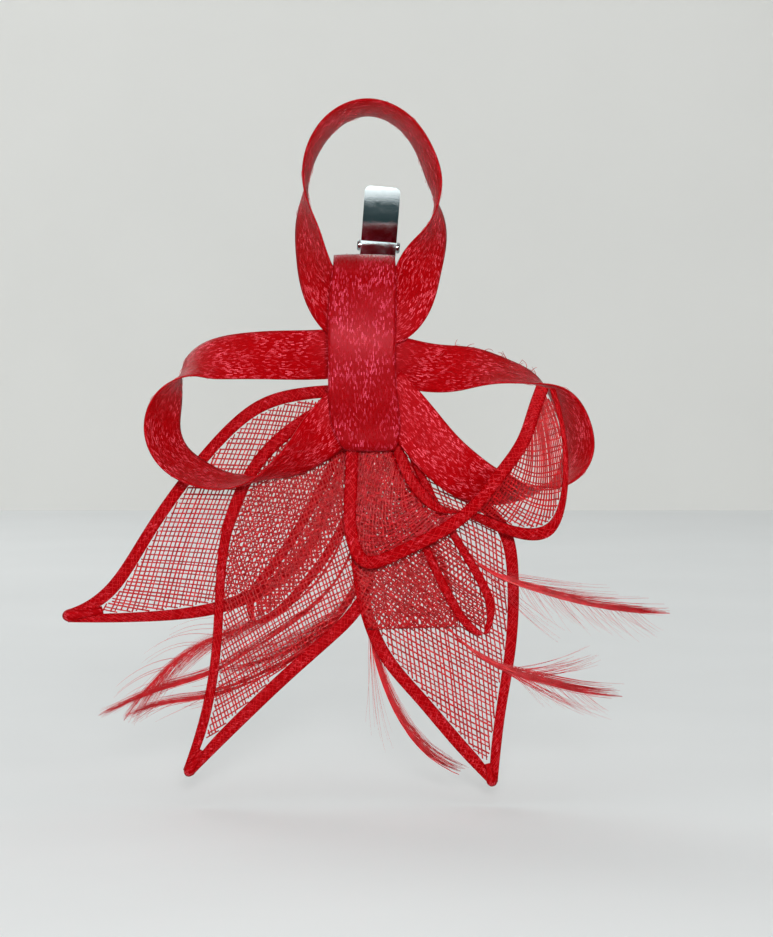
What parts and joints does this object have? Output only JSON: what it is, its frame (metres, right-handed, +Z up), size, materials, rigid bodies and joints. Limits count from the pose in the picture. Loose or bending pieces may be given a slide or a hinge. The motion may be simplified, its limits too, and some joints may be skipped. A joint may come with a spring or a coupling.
{
  "type": "flower hair clip",
  "caption": "Sprung alligator hair clip dressed with a flower of woven abaca loops, net leaves, petals and dyed feathers under a centre band.",
  "frame": {"origin": "between the clip's jaws, at the middle of their grip", "axes": "+Z up the flower towards the thumb tabs, +Y from the flower's face to the clip's back, +X to the right as seen from the front"},
  "size_m": [0.1273, 0.0276, 0.1439],
  "materials": {
    "plated_steel": "bright nickel-plated pressed steel",
    "spring_steel": "drawn wire",
    "hot_melt_glue": "cloudy",
    "felt": "pressed felt",
    "thread": "twisted polyester thread",
    "feather": "dyed hackle",
    "abaca_net": "open weave",
    "abaca_tape": "folded weave",
    "abaca_ribbon": "close fibrous weave with a silky sheen"
  },
  "bodies": {
    "front": {"backing_pad": "felt", "binding_thread": "thread", "bottom_feather": "feather", "centre_band": "abaca_ribbon", "centre_puff": "abaca_net", "clip_spring": "spring_steel", "front_jaw": "plated_steel", "glue_pad": "hot_melt_glue", "hinge_pin": "spring_steel", "left_feather_first": "feather", "left_feather_fourth": "feather", "left_feather_second": "feather", "left_feather_third": "feather", "left_leaf_lower_tape": "abaca_tape", "left_leaf_net": "abaca_net", "left_leaf_upper_tape": "abaca_tape", "left_loop": "abaca_ribbon", "left_petal_left_tape": "abaca_tape", "left_petal_net": "abaca_net", "left_petal_right_tape": "abaca_tape", "lower_left_leaf_inner_tape": "abaca_tape", "lower_left_leaf_net": "abaca_net", "lower_left_leaf_outer_tape": "abaca_tape", "lower_right_leaf_inner_tape": "abaca_tape", "lower_right_leaf_net": "abaca_net", "lower_right_leaf_outer_tape": "abaca_tape", "right_feather_lower": "feather", "right_feather_upper": "feather", "right_leaf_back_tape": "abaca_tape", "right_leaf_front_tape": "abaca_tape", "right_leaf_net": "abaca_net", "right_loop": "abaca_ribbon", "right_petal_left_tape": "abaca_tape", "right_petal_net": "abaca_net", "right_petal_right_tape": "abaca_tape", "top_loop": "abaca_ribbon"},
    "rear": {"rear_jaw": "plated_steel"}
  },
  "joints": [
    {"name": "jaw_hinge", "type": "hinge", "parent": "front", "child": "rear", "pos_m": [0.00155, 0, 0.01964], "axis": [0.9969, 0, -0.0785], "range_deg": [0, 36], "stiffness_Nm_per_rad": 0.03, "springref_deg": -28.65, "deforming": ["clip_spring"]}
  ]
}
